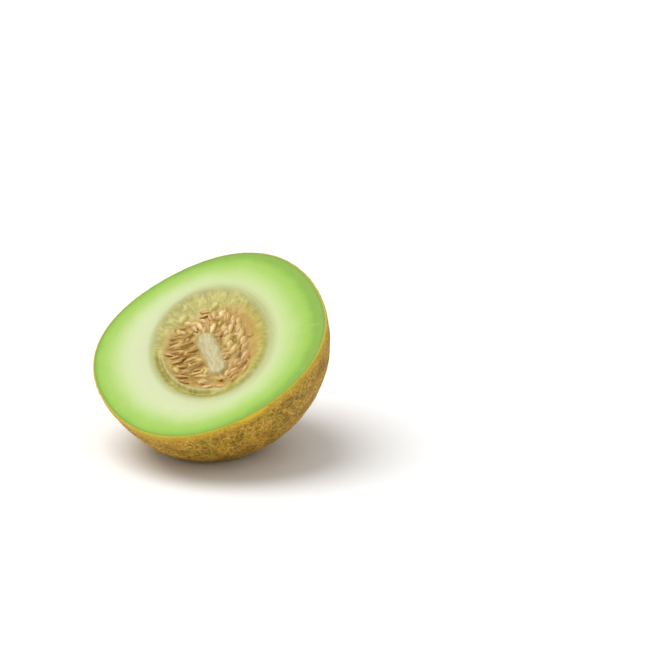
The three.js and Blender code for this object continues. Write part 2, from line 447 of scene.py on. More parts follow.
@dataclass(frozen=True)
class RindFinish:
    """Golden skin under a corky, pale net, with painted light on a golden band by the cut rim. Sizes
    are in millimetres.
    """

    skin: tuple = tone(216, 166, 42)
    skin_olive: tuple = tone(172, 148, 56)
    skin_deep: tuple = tone(138, 98, 44)
    cork: tuple = tone(238, 200, 106)
    cork_shade: tuple = tone(188, 142, 56)
    bright: tuple = tone(244, 208, 54)
    # the colour of the painted light on the rind's band by the cut rim
    rim_light_golden: tuple = tone(250, 212, 80)
    blotch_size: float = 20
    streak_size: float = 9
    mottle_size: float = 2.6
    fleck_size: float = 1.1
    pore_size: float = 1.1
    ragged_size: float = 0.8
    gloss: Gloss = Gloss(under_scale=0.0015, under_weight=0.08, coat=0.06, coat_roughness=0.35)

    def material(self) -> bpy.types.Material:
        """Builds the material."""
        bench = Bench("netted rind")
        own = bench.attribute(OWN, vector=True)
        blotch = bench.noise(own, self.blotch_size, 3)
        mottle = bench.noise(own, self.mottle_size, 4)
        # Painted light: the rind within a few millimetres of the cut rim, which faces the light, is
        # lifted to golden.
        lit_rim_band = bench.step(bench.part(own, "Z") + 5 * (blotch - 0.5), -8, 1)
        pores = bench.step(bench.cells(own, self.pore_size), 0.1, 0.3)
        skin = bench.mix(bench.step(blotch, 0.42, 0.6), self.skin, self.skin_olive)
        skin = bench.mix(bench.step(mottle, 0.42, 0.66) * 0.75, skin, self.skin_deep)
        skin = bench.mix(bench.attribute(PATCH), skin, self.bright)
        skin = bench.mix(lit_rim_band * 0.75, skin, self.rim_light_golden)
        skin = bench.mix((1 - pores) * 0.4, skin, self.skin_deep)
        flecks = bench.step(bench.noise(own, self.fleck_size, 4), 0.35, 0.65)
        cork = bench.mix(flecks, self.cork_shade, self.cork)
        cork = bench.mix(bench.step(blotch, 0.5, 0.7) * 0.35, cork, self.skin_olive)
        cork = bench.mix(lit_rim_band * 0.45, cork, self.rim_light_golden)
        ragged = bench.attribute(NET) + 0.3 * (bench.noise(own, self.ragged_size, 3) - 0.5)
        crust = bench.step(ragged, 0.12, 0.42)
        streaks = bench.noise(bench.stretch(own, (1, 0.35, 1)), self.streak_size, 3)
        # The streaks are kept off the band of painted light by the rim.
        shade = bench.step(streaks, 0.46, 0.66) * (1 - lit_rim_band) * 0.4
        colour = bench.mix(shade, bench.mix(crust, skin, cork), self.skin_deep)
        bench.bump(0.7 * bench.noise(own, 0.5, 4) * crust + 0.3 * mottle, 0.0003, 0.7)
        return bench.finished(colour, 0.42 + 0.28 * crust + 0.1 * mottle, self.gloss)


@dataclass(frozen=True)
class FleshFinish:
    """Wet cut flesh: green by the rind, pale by the cavity, olive down the cavity's wall, where it
    darkens with depth as painted shade.
    """

    ring: tuple = (
        # The stops below MOUTH darken with depth down the cavity's wall: painted shade.
        (0.0, tone(124, 114, 58)),
        (0.08, tone(160, 156, 86)),
        (0.125, tone(176, 178, 104)),
        (MOUTH, tone(188, 193, 120)),
        (0.20, tone(203, 210, 144)),
        (0.26, tone(210, 221, 155)),
        (0.337, tone(214, 229, 163)),
        (0.45, tone(208, 230, 152)),
        (0.575, tone(196, 225, 128)),
        (0.70, tone(177, 216, 98)),
        (0.81, tone(165, 210, 76)),
        (0.90, tone(145, 195, 41)),
        (0.955, tone(138, 178, 38)),
        (0.976, tone(132, 164, 40)),
        (0.985, tone(206, 190, 60)),
        (1.0, tone(226, 198, 66)),
    )
    vein: tuple = tone(234, 240, 200)
    milky: tuple = tone(230, 237, 194)
    cell_size: float = 1.3
    gloss: Gloss = Gloss(0.0025, 0.18, (1.0, 0.95, 0.8), coat=0.08, coat_roughness=0.2)

    def colour(self, bench: Bench) -> Wire:
        """The flesh's colour, from deep in the cavity to the rim, with painted shade down the
        cavity's wall and painted light on the left of the face.

        Args:
            bench: the material in work, whose piece has REACH and SPOKE stored on it.

        Returns:
            The colour's wire.
        """
        own = bench.attribute(OWN, vector=True)
        spoke = bench.attribute(SPOKE, vector=True)
        reach = bench.attribute(REACH)
        side = bench.part(spoke, "X")
        cloud = bench.noise(own, 16, 3) - 0.5
        streak = bench.noise(bench.stretch(spoke, (10, 10, 2.2)), 1, 4, 0.6) - 0.5
        inside = bench.step(reach, 0.2, 0.4) * (1 - bench.step(reach, 0.93, 0.975))
        # Painted light: the shift by side moves the flesh toward its paler colours on the left,
        # where the light falls more brightly.
        shifted = reach + inside * (0.14 * cloud + 0.03 * streak + 0.09 * side)
        colour = bench.ramp(shifted.least(reach.most(0.93)), self.ring)
        band = bench.step(reach, 0.14, 0.24) * (1 - bench.step(reach, 0.3, 0.8))
        # Painted light: the milky band is laid on the left side of the face, where the light is
        # brighter.
        lit_left_pale = 1 - bench.step(side + 1.2 * cloud, -0.9, 0.5)
        colour = bench.mix(band * lit_left_pale * 0.6, colour, self.milky)
        colour = bench.mix(inside * bench.step(streak, 0.06, 0.3) * 0.12, colour, self.vein)
        cells = bench.cells(own, self.cell_size)
        return bench.mix((1 - bench.step(cells, 0.1, 0.45)) * inside * 0.07, colour, self.vein)

    def material(self) -> bpy.types.Material:
        """Builds the material."""
        bench = Bench("green flesh")
        own = bench.attribute(OWN, vector=True)
        fine = bench.noise(own, 0.8, 3)
        bench.bump(0.5 * bench.cells(own, self.cell_size) + 0.5 * fine, 0.00022, 0.5)
        return bench.finished(self.colour(bench), 0.30 + 0.22 * fine, self.gloss)


@dataclass(frozen=True)
class PulpFinish:
    """Wet, stringy pulp: tan by the seeds, green by the flesh, with a pale core, painted shade in
    its folds and painted highlights on the tops of its swellings.
    """

    tan: tuple = tone(214, 184, 104)
    amber: tuple = tone(200, 162, 82)
    cream: tuple = tone(244, 214, 140)
    # the colour of the painted shade in the pulp's folds
    deep: tuple = tone(164, 122, 56)
    olive: tuple = tone(178, 172, 84)
    lime: tuple = tone(212, 202, 112)
    pale_lime: tuple = tone(236, 224, 142)
    core: tuple = tone(218, 208, 162)
    core_shade: tuple = tone(198, 184, 130)
    gloss: Gloss = Gloss(0.0012, 0.12, (1.0, 0.95, 0.85), coat=0.2, coat_roughness=0.2)

    def material(self) -> bpy.types.Material:
        """Builds the material."""
        bench = Bench("seed pulp")
        own = bench.attribute(OWN, vector=True)
        spoke = bench.attribute(SPOKE, vector=True)
        strings = bench.noise(bench.stretch(spoke, (11, 11, 9)), 1, 5, 0.65, 1.5)
        lumps = bench.noise(own, 5, 3)
        green, sac, pale = (bench.attribute(name) for name in (GREEN, SAC_HIGHLIGHT, PALE))
        warm = bench.mix(bench.step(lumps, 0.4, 0.62), self.tan, self.amber)
        # Painted highlight: the tops of the swellings are lightened toward cream and pale lime.
        warm = bench.mix(sac * 0.8, warm, self.cream)
        cool = bench.mix(bench.step(strings, 0.4, 0.62), self.olive, self.lime)
        cool = bench.mix(bench.step(lumps, 0.48, 0.68) * 0.6, cool, self.pale_lime)
        cool = bench.mix(sac * 0.75, cool, self.pale_lime)
        pulp = bench.mix(bench.step(green + 0.3 * (lumps - 0.5), 0.0, 0.9), warm, cool)
        pulp = bench.mix(bench.step(strings, 0.56, 0.74) * (1 - green) * 0.25, pulp, self.cream)
        # Painted shade: the folds between the swellings are darkened toward deep.
        folds = bench.step(bench.attribute(CREASE_SHADE), 0.2, 1.0)
        pulp = bench.mix(folds * 0.5, pulp, self.deep)
        grainy = bench.noise(bench.stretch(own, (1, 0.22, 1)), 1.1, 4)
        core = bench.mix(bench.step(grainy, 0.35, 0.65), self.core_shade, self.core)
        pulp = bench.mix(pale + 0.5 * pale * (strings - 0.5), pulp, core)
        colour = bench.mix(bench.attribute(EDGE), pulp, FleshFinish().colour(bench))
        bench.bump(0.6 * strings + 0.4 * bench.noise(own, 0.6, 3), 0.0004, 0.6)
        return bench.finished(colour, 0.26 + 0.2 * strings + 0.16 * pale, self.gloss)


@dataclass(frozen=True)
class SeedFinish:
    """Smooth cream seeds under a film of juice."""

    dark: tuple = tone(214, 164, 94)
    pale: tuple = tone(252, 226, 160)
    edge: tuple = tone(202, 152, 84)
    gloss: Gloss = Gloss(0.001, 0.14, (1.0, 0.92, 0.8), coat=0.38, coat_roughness=0.12)

    def material(self) -> bpy.types.Material:
        """Builds the material."""
        bench = Bench("melon seed")
        own = bench.attribute(OWN, vector=True)
        mottle = bench.noise(own, 2.2, 3)
        fibre = bench.noise(own, 0.5, 4)
        tint = bench.attribute(TINT) + 0.5 * (mottle - 0.5)
        colour = bench.mix(tint, self.dark, self.pale)
        colour = bench.mix(bench.attribute(MARGIN) * 0.6, colour, self.edge)
        bench.bump(fibre, 0.00012, 0.5)
        return bench.finished(colour, 0.22 + 0.2 * fibre, self.gloss)


@dataclass(frozen=True)
class FloorFinish:
    """A plain pale floor with the faintest unevenness."""

    light: tuple = (0.94, 0.94, 0.94, 1)
    shade: tuple = (0.93, 0.93, 0.93, 1)

    def material(self) -> bpy.types.Material:
        """Builds the material."""
        bench = Bench("pale floor")
        where = Wire(bench, bench.node("ShaderNodeTexCoord").outputs["Object"])
        cloud = bench.noise(where, 0.4, 2)
        return bench.finished(bench.mix(cloud, self.light, self.shade), 0.55 + 0.1 * cloud)


# ---------------------------------------------------------------------------------------
# The melon's form
# ---------------------------------------------------------------------------------------


@dataclass
class MelonForm:
    """The half's own shape and its resting pose. Lengths are in millimetres."""

    across: float = 151.4
    along: float = 156.4
    deep: float = 154
    centre_above_cut: float = 5
    swellings: tuple = ((3, 0.7, math.radians(38)), (4, 1.4, math.radians(56)))
    lean: float = math.radians(31)
    turn: float = math.radians(45)
    spot_sink: float = 4.7
    spot_softness: float = 1.1
    cavity_across: float = 73
    cavity_along: float = 97
    cavity_depth: float = 31
    cavity_x: float = 0.5
    cavity_y: float = -1.5
    lip: float = 1.5
    core_start: tuple = (-0.2, -23.5)
    core_end: tuple = (-2.0, 5.5)
    core_radius: float = 5.2
    offset: Array = field(init=False)

    def __post_init__(self) -> None:
        """Works out the pose and the height of the ground."""
        lean, turn = Matrix.Rotation(self.lean, 3, "X"), Matrix.Rotation(self.turn, 3, "Z")
        self.rotation = np.array(lean @ turn)
        self.up = self.rotation[2]
        self.half = np.array((self.across, self.along, self.deep)) / 2
        round_depth = float(np.linalg.norm(self.half * self.up))
        self.ground = self.centre_above_cut * self.up[2] - round_depth + self.spot_sink
        self.offset = np.array((0, 0, -self.ground))

    def radius(self, ways: Array) -> Array:
        """Distance from the middle of the cut face to the smooth rind.

        Args:
            ways: unit directions, one to a row.

        Returns:
            The distances.
        """
        spread = ((ways / self.half) ** 2).sum(1)
        rise = ways[:, 2] * self.centre_above_cut / self.half[2] ** 2
        inside = 1 - (self.centre_above_cut / self.half[2]) ** 2
        radius = (rise + np.sqrt(rise**2 + spread * inside)) / spread
        around = np.arctan2(ways[:, 1], ways[:, 0])
        near_rim = np.hypot(ways[:, 0], ways[:, 1])
        for waves, height, crest in self.swellings:
            radius += height * near_rim**waves * np.cos(waves * (around - crest))
        return radius

    def press_flat(self, points: Array) -> Array:
        """Lifts the points of the underside to the surface that the melon rests on."""
        height = points @ self.up - self.ground
        soft = self.spot_softness
        blend = (height + soft) ** 2 / (4 * soft)
        pressed = np.where(height <= -soft, 0, np.where(height >= soft, height, blend))
        return points + (pressed - height)[:, None] * self.up

    def settle(self, points: Array) -> Array:
        """Points of the melon's own frame in the resting pose, in metres."""
        return (points @ self.rotation.T + self.offset) * MM

    def unsettle(self, points: Array) -> Array:
        """Points of the resting pose, in metres, in the melon's own frame."""
        return (points / MM - self.offset) @ self.rotation

    def rim(self, around: Array) -> Array:
        """Radius of the cut face's rim at each angle."""
        return self.radius(circle(around, 1.0))

    def meet_frame(self, node: str) -> None:
        """Moves the pose level, so that the smooth half has the middle of the frame's box."""
        low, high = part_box(node)
        turns = np.linspace(-math.pi, math.pi, 721)
        drops = np.linspace(0, math.pi / 2, 181)
        around, drop = (grid.ravel() for grid in np.meshgrid(turns, drops))
        ways = circle(around, np.cos(drop), -np.sin(drop))
        placed = self.press_flat(ways * self.radius(ways)[:, None]) @ self.rotation.T
        middle = (placed.min(0) + placed.max(0)) / 2
        self.offset[:2] = (np.array(low) + np.array(high))[:2] / (2 * MM) - middle[:2]

    def cavity_share(self, points: Array) -> Array:
        """Share of the way from the middle of the cavity's mouth to its edge."""
        across = (points[:, 0] - self.cavity_x) / (self.cavity_across / 2)
        along = (points[:, 1] - self.cavity_y) / (self.cavity_along / 2)
        return np.hypot(across, along)

    def core_distance(self, points: Array) -> Array:
        """Distance from the middle line of the pale core, seen from above."""
        start, end = np.array(self.core_start), np.array(self.core_end)
        along = end - start
        offset = points[:, :2] - start
        share = np.clip(offset @ along / (along @ along), 0, 1)
        return np.linalg.norm(offset - share[:, None] * along, axis=1)

    def reach(self, points: Array) -> Array:
        """Share of the way to the rim, for points by the mouth of the cavity.

        Args:
            points: places near the height of the face, one to a row.

        Returns:
            MOUTH at the mouth, more toward the rim, less toward the middle.
        """
        out = np.hypot(points[:, 0], points[:, 1])
        rim = self.rim(np.arctan2(points[:, 1], points[:, 0]))
        mouth = out / np.maximum(self.cavity_share(points), 0.05) + self.lip
        return 1 - (1 - MOUTH) * (rim - out) / np.maximum(rim - mouth, 5)

    def bowl(self, around: Array, drop: Array | float, grow: float = 0.0) -> Array:
        """Points on the cavity's wall, below its soft lip.

        Args:
            around: angles round the cavity.
            drop: angles down the wall, from 0 at its top to a quarter turn at the bottom.
            grow: how far outside the wall the points lie.

        Returns:
            The points.
        """
        level = np.cos(drop)
        wide, long = self.cavity_across / 2 + grow, self.cavity_along / 2 + grow
        depth = self.lip + (self.cavity_depth - self.lip + grow) * np.sin(drop)
        return np.stack(
            (
                self.cavity_x + wide * level * np.cos(around),
                self.cavity_y + long * level * np.sin(around),
                np.broadcast_to(-depth, around.shape),
            ),
            1,
        )


@dataclass
class MelonHalf:
    """The rind with its raised net, the cut face, and the cavity's wall, in one closed piece."""

    form: MelonForm
    rind_grid: int = 268
    ring_sides: int = 360
    net_cell: float = 3.5
    net_stretch: float = 1.45
    net_width: float = 0.58
    net_height: float = 0.62
    edge_round: float = 0.3
    face_width: float = 38.0

    def build(self) -> bpy.types.Object:
        """Models and dresses the piece.

        Returns:
            The finished object.
        """
        rind = self.rind_shell()
        face = self.face_and_cavity()
        half = join([rind, face], "melon_half_whole")
        self.bridge_rim(half)
        self.dress(half)
        return half

    def rind_shell(self) -> bpy.types.Object:
        """A square sheet wrapped round the underside, with the net raised on it."""
        shell = add_grid("rind", self.rind_grid, self.rind_grid)
        share, around = disc_from_square(read_points(shell))
        fall = 2 * np.arcsin(np.clip(share / math.sqrt(2), 0, 1))
        ways = circle(around, np.sin(fall), -np.cos(fall))
        on_rim = share > 1 - 1e-6
        ways[on_rim, 2] = 0
        smooth = ways * self.form.radius(ways)[:, None]
        net, patch = self.net_heights(smooth)
        lumps = 0.25 * grain(smooth, 14, 3.1) + 0.12 * grain(smooth, 5, 9.7)
        height = self.net_height * net + lumps
        height[on_rim] *= 0.35
        raised = smooth + ways * height[:, None]
        raised[on_rim, 2] = -self.edge_round
        points = self.form.press_flat(raised)
        write_points(shell, points)
        store(shell, {NET: net})
        store(shell, {PATCH: patch})
        store(shell, {REACH: np.ones(len(points))})
        return shell

    def net_heights(self, smooth: Array) -> tuple[Array, Array]:
        """How high the net stands at each point of the rind.

        Args:
            smooth: points of the smooth rind.

        Returns:
            The net's height from 0 to 1, and how much of the bare bright patch is there.
        """
        rng = np.random.default_rng(11)
        squeeze = np.array((1, 1 / self.net_stretch, 1))
        area = 2 * math.pi * (self.form.across / 2) ** 2
        count = int(2 * area / (self.net_cell**2 * self.net_stretch**0.5))
        turns = np.arange(count) * math.pi * (3 - math.sqrt(5))
        heights = 1 - 2 * (np.arange(count) + 0.5) / count
        ways = circle(turns, np.sqrt(1 - heights**2), heights)
        centres = ways * self.form.radius(ways)[:, None]
        centres += rng.normal(0, 0.36 * self.net_cell, centres.shape)
        centres *= squeeze
        tree = kdtree.KDTree(count)
        for index, centre in enumerate(centres):
            tree.insert(centre, index)
        tree.balance()
        bend = np.stack([grain(smooth, 5.5, shift) for shift in (1.7, 5.3, 8.9)], 1)
        bend += 0.45 * np.stack([grain(smooth, 2.1, shift) for shift in (2.9, 6.1, 7.7)], 1)
        bent = (smooth + 1.5 * bend) * squeeze
        edge = np.empty(len(bent))
        for index, place in enumerate(bent):
            near = tree.find_n(place, 4)
            first, _, gap = near[0]
            edge[index] = min(
                (other[2] ** 2 - gap**2) / (2 * (other[0] - first).length) for other in near[1:]
            )
        width = self.net_width * (1 + 0.45 * grain(smooth, 7, 4.4))
        ridge = 1 - smoothstep(edge / width, 0.25, 1.7)
        strength = 0.72 + 0.5 * grain(smooth, 9, 12.5)
        patch = self.bare_patch(smooth)
        return np.clip(ridge * np.clip(strength, 0.25, 1) * (1 - patch), 0, 1), patch

    def bare_patch(self, smooth: Array) -> Array:
        """A lens of bare, bright skin against the rim at the blossom end."""
        middle_x, half_length, half_height = 10.0, 12.0, 4.2
        across = (smooth[:, 0] - middle_x) / half_length
        down = smooth[:, 2] / half_height
        spread = np.hypot(across, down) + 0.15 * grain(smooth, 4, 0.6)
        return (1 - smoothstep(spread, 0.6, 1.0)) * (smooth[:, 1] < 0)

    def face_and_cavity(self) -> bpy.types.Object:
        """A sheet wrapped into rings: the cut face from its edge in, and down the cavity."""
        inward = np.array((0.35, 0.8, 1.3, 1.9, 2.8, 4.0, 6, 9, 12.5, 16.5, 21, 25.5, 30, 34))
        lip_turns = np.radians((0, 22, 45, 67))
        drops = np.radians(np.concatenate((np.linspace(0, 14, 8), np.linspace(20, 90, 10))))
        rows = len(inward) + len(lip_turns) + len(drops)
        sheet = add_grid("face", self.ring_sides, rows - 1)
        flat = read_points(sheet)
        column, row = grid_steps(flat, self.ring_sides, rows - 1)
        around = 2 * math.pi * column / self.ring_sides
        around[column == self.ring_sides] = 0.0
        rings = [self.face_ring(around, step) for step in inward]
        rings += [self.lip_ring(around, turn) for turn in lip_turns]
        rings += [self.form.bowl(around, drop) for drop in drops]
        points = np.stack(rings)[row, np.arange(len(row))]
        depth = -points[:, 2]
        first_wall = len(inward) + len(lip_turns)
        rim = self.face_ring(around, 0.0)
        mouth = self.lip_ring(around, 0.0)
        thickness = np.linalg.norm(rim - mouth, axis=1)
        reach = 1 - (1 - MOUTH) * np.linalg.norm(rim - points, axis=1) / thickness
        # On the wall REACH falls with depth, which the flesh's ring turns into painted shade.
        reach = np.where(row >= len(inward), MOUTH - 0.014 * depth, reach)
        ripple = 0.10 * grain(points, 9, 2.2) + 0.05 * grain(points, 2.5, 7.2)
        points[:, 2] += ripple * (row > 1) * (row < first_wall)
        wall = row >= first_wall
        folds = 0.45 * grain(points, 4, 1.1) + 0.2 * grain(points, 1.5, 3.3)
        toward = points - np.array((self.form.cavity_x, self.form.cavity_y, 0))
        toward /= np.maximum(np.linalg.norm(toward, axis=1), 1e-6)[:, None]
        points += (folds * wall * smoothstep(depth, 1.5, 5))[:, None] * toward
        write_points(sheet, points)
        store(sheet, {NET: np.zeros(len(points))})
        store(sheet, {PATCH: np.zeros(len(points))})
        store(sheet, {REACH: np.clip(reach, 0, 0.9999)})
        return sheet

    def face_ring(self, around: Array, inward: float) -> Array:
        """A ring of the cut face, some way in from the rim."""
        rim = self.form.rim(around)
        outer, inner = circle(around, rim), self.lip_ring(around, 0.0)
        share = inward / self.face_width
        blend = float(smoothstep(inward, 16, 36))
        return (1 - blend) * circle(around, rim - inward) + blend * (outer + (inner - outer) * share)

    def lip_ring(self, around: Array, turn: float) -> Array:
        """A ring of the soft lip between the cut face and the cavity's wall."""
        outward = self.form.lip * (1 - math.sin(turn))
        points = self.form.bowl(around, 0.0, outward)
        points[:, 2] = -self.form.lip * (1 - math.cos(turn))
        return points

    def bridge_rim(self, half: bpy.types.Object) -> None:
        """Closes the seams, and bridges the rind's rim to the edge of the cut face."""
        close_up(half, 1e-4)
        pick(half)
        bpy.ops.object.mode_set(mode="EDIT")
        bpy.ops.mesh.select_mode(type="EDGE")
        bpy.ops.mesh.select_all(action="DESELECT")
        bpy.ops.mesh.select_non_manifold()
        bpy.ops.mesh.bridge_edge_loops()
        bpy.ops.mesh.select_all(action="SELECT")
        bpy.ops.mesh.normals_make_consistent(inside=False)
        bpy.ops.object.mode_set(mode="OBJECT")

    def dress(self, half: bpy.types.Object) -> None:
        """Stores what the finishes read, gives them out and settles the piece in its pose."""
        points = read_points(half)
        reach = read_numbers(half, REACH)
        around = np.arctan2(points[:, 1], points[:, 0])
        store(half, {OWN: points})
        store(half, {SPOKE: np.stack((np.cos(around), np.sin(around), reach), 1)})
        half.data.materials.clear()
        half.data.materials.append(RindFinish().material())
        half.data.materials.append(FleshFinish().material())
        rim_height = -self.edge_round - 1e-3
        for polygon in half.data.polygons:
            on_face = all(
                reach[v] < 0.99995 or points[v, 2] >= rim_height for v in polygon.vertices
            )
            polygon.material_index = 1 if on_face else 0
        write_points(half, self.form.settle(points))
        smooth_shade(half)


# ---------------------------------------------------------------------------------------
# Seeds
# ---------------------------------------------------------------------------------------


@dataclass
class SeedForm:
    """One seed: a flat drop with a thin margin round it. Lengths are in millimetres."""

    length: float = 10.4
    width: float = 4.4
    thickness: float = 2.1

    def model(self, segments: int, rings: int) -> tuple[Array, list, Array]:
        """Shapes a ball into the seed.

        Args:
            segments: how many sides round the ball.
            rings: how many rings along it.

        Returns:
            The points with the length along Y and the blunt end at +Y, the faces, and how near
            each point is to the thin margin.
        """
        deselect()
        bpy.ops.mesh.primitive_uv_sphere_add(segments=segments, ring_count=rings, radius=1)
        ball = bpy.context.object
        sphere = read_points(ball)
        faces = [tuple(face.vertices) for face in ball.data.polygons]
        bpy.data.objects.remove(ball)
        share = np.clip(np.arccos(np.clip(-sphere[:, 2], -1, 1)) / math.pi, 0, 1)
        swell = np.sin(math.pi * np.clip(share, 1e-6, 1 - 1e-6) ** 1.35) ** 0.8
        around = np.arctan2(sphere[:, 1], sphere[:, 0])
        side = np.cos(around)
        plump = np.sign(np.sin(around)) * np.abs(np.sin(around)) ** 1.25
        margin = smoothstep(np.abs(side), 0.72, 0.97)
        thick = plump * (0.86 + 0.14 * np.sin(math.pi * share))
        points = np.stack(
            (
                swell * side * self.width / 2,
                (share - 0.5) * self.length,
                swell * thick * self.thickness / 2,
            ),
            1,
        )
        return points, faces, margin


@dataclass
class Seeds:
    """Every seed that shows, and the ones half hidden under them."""

    form: MelonForm
    shape: SeedForm = field(default_factory=SeedForm)
    segments: int = 20
    rings: int = 14
    buried_count: int = 40
    buried_tries: int = 1500
    seed_gap: float = 3.2
    core_gap: float = 7.5

    def seat(self, node: str) -> tuple[Array, Array]:
        """Reads where a seed of the frame lies.

        Args:
            node: the seed's name in the frame.

        Returns:
            Its middle and its three axes as rows, in the melon's own frame: width, length
            toward the blunt end, thickness.
        """
        flat = np.array([tuple(v.co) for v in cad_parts[node].data.vertices])
        points = self.form.unsettle(np.unique(np.round(flat, 7), axis=0))
        middle = points.mean(0)
        _, _, axes = np.linalg.svd(points - middle)
        length, width, thickness = axes
        along = (points - middle) @ length
        middle = middle + length * (along.max() + along.min()) / 2
        along = (points - middle) @ length
        girth = np.linalg.norm(points - middle - along[:, None] * length, axis=1)
        if (girth * along).sum() < 0:
            length = -length
        if thickness[2] < 0:
            thickness = -thickness
        width = np.cross(length, thickness)
        return middle, np.stack((width, length, thickness))

    def build(self) -> tuple[list[bpy.types.Object], list[tuple[Array, Array]]]:
        """Models one seed and seats a copy of it at each of the frame's seeds.

        Returns:
            The seeds, and the place and axes of each.
        """
        points, faces, margin = self.shape.model(self.segments, self.rings)
        finish = SeedFinish().material()
        rng = np.random.default_rng(5)
        pieces, seats = [], []
        nodes = (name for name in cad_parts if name.removeprefix("seed_").isdigit())
        for node in sorted(nodes):
            middle, axes = self.seat(node)
            own = middle + (points * rng.uniform(0.94, 1.0, 3)) @ axes
            tint = 0.2 + 0.8 * rng.beta(0.9, 0.8)
            piece = self.one(f"{node}_kernel", own, faces, margin, tint, finish)
            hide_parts(node)
            pieces.append(piece)
            seats.append((middle, axes))
        return pieces, seats

    def one(
        self, name: str, own: Array, faces: list, margin: Array, tint: float, finish: Any
    ) -> bpy.types.Object:
        """Makes a seed's object from its points in the melon's own frame."""
        mesh = bpy.data.meshes.new(name)
        mesh.from_pydata(self.form.settle(own).tolist(), [], faces)
        piece = bpy.data.objects.new(name, mesh)
        bpy.context.scene.collection.objects.link(piece)
        store(piece, {OWN: own})
        store(piece, {MARGIN: margin})
        store(piece, {TINT: np.full(len(own), tint)})
        mesh.materials.append(finish)
        smooth_shade(piece, 70)
        return piece

    def buried(
        self, seats: list[tuple[Array, Array]], surface: Callable[[Array], Array]
    ) -> bpy.types.Object:
        """Fills the gaps between the seeds with others that lie deeper in the pulp.

        Args:
            seats: the place and axes of each seed that shows.
            surface: height of the pulp at points of the melon's own frame.

        Returns:
            One object that holds them all.
        """
        points, faces, margin = self.shape.model(10, 8)
        rng = np.random.default_rng(23)
        middles = np.array([middle for middle, _ in seats])
        taken = list(middles)
        parts, finish = [], SeedFinish().material()
        for _ in range(self.buried_tries):
            if len(parts) == self.buried_count:
                break
            x, y = rng.uniform(-27, 24), rng.uniform(-46, 34)
            bed = math.hypot((x + 2) / 25.5, (y + 7) / 39)
            near = min(math.hypot(place[0] - x, place[1] - y) for place in taken)
            spot = np.array(((x, y, 0.0),))
            from_core = float(self.form.core_distance(spot)[0])
            if bed > 1 or near < self.seed_gap or from_core < self.core_gap:
                continue
            nearest = int(np.argmin(np.hypot(middles[:, 0] - x, middles[:, 1] - y)))
            turn = np.array(Euler(rng.normal(0, 0.22, 3)).to_matrix())
            axes = seats[nearest][1] @ turn
            middle = np.array((x, y, float(surface(spot)[0]) + rng.uniform(-0.5, 0.5)))
            own = middle + points * rng.uniform(0.85, 0.97) @ axes
            taken.append(middle)
            tint, name = rng.uniform(0.0, 0.6), f"buried_{len(parts)}"
            parts.append(self.one(name, own, faces, margin, tint, finish))
        return join(parts, "seeds_in_pulp")


# ---------------------------------------------------------------------------------------
# Pulp
# ---------------------------------------------------------------------------------------


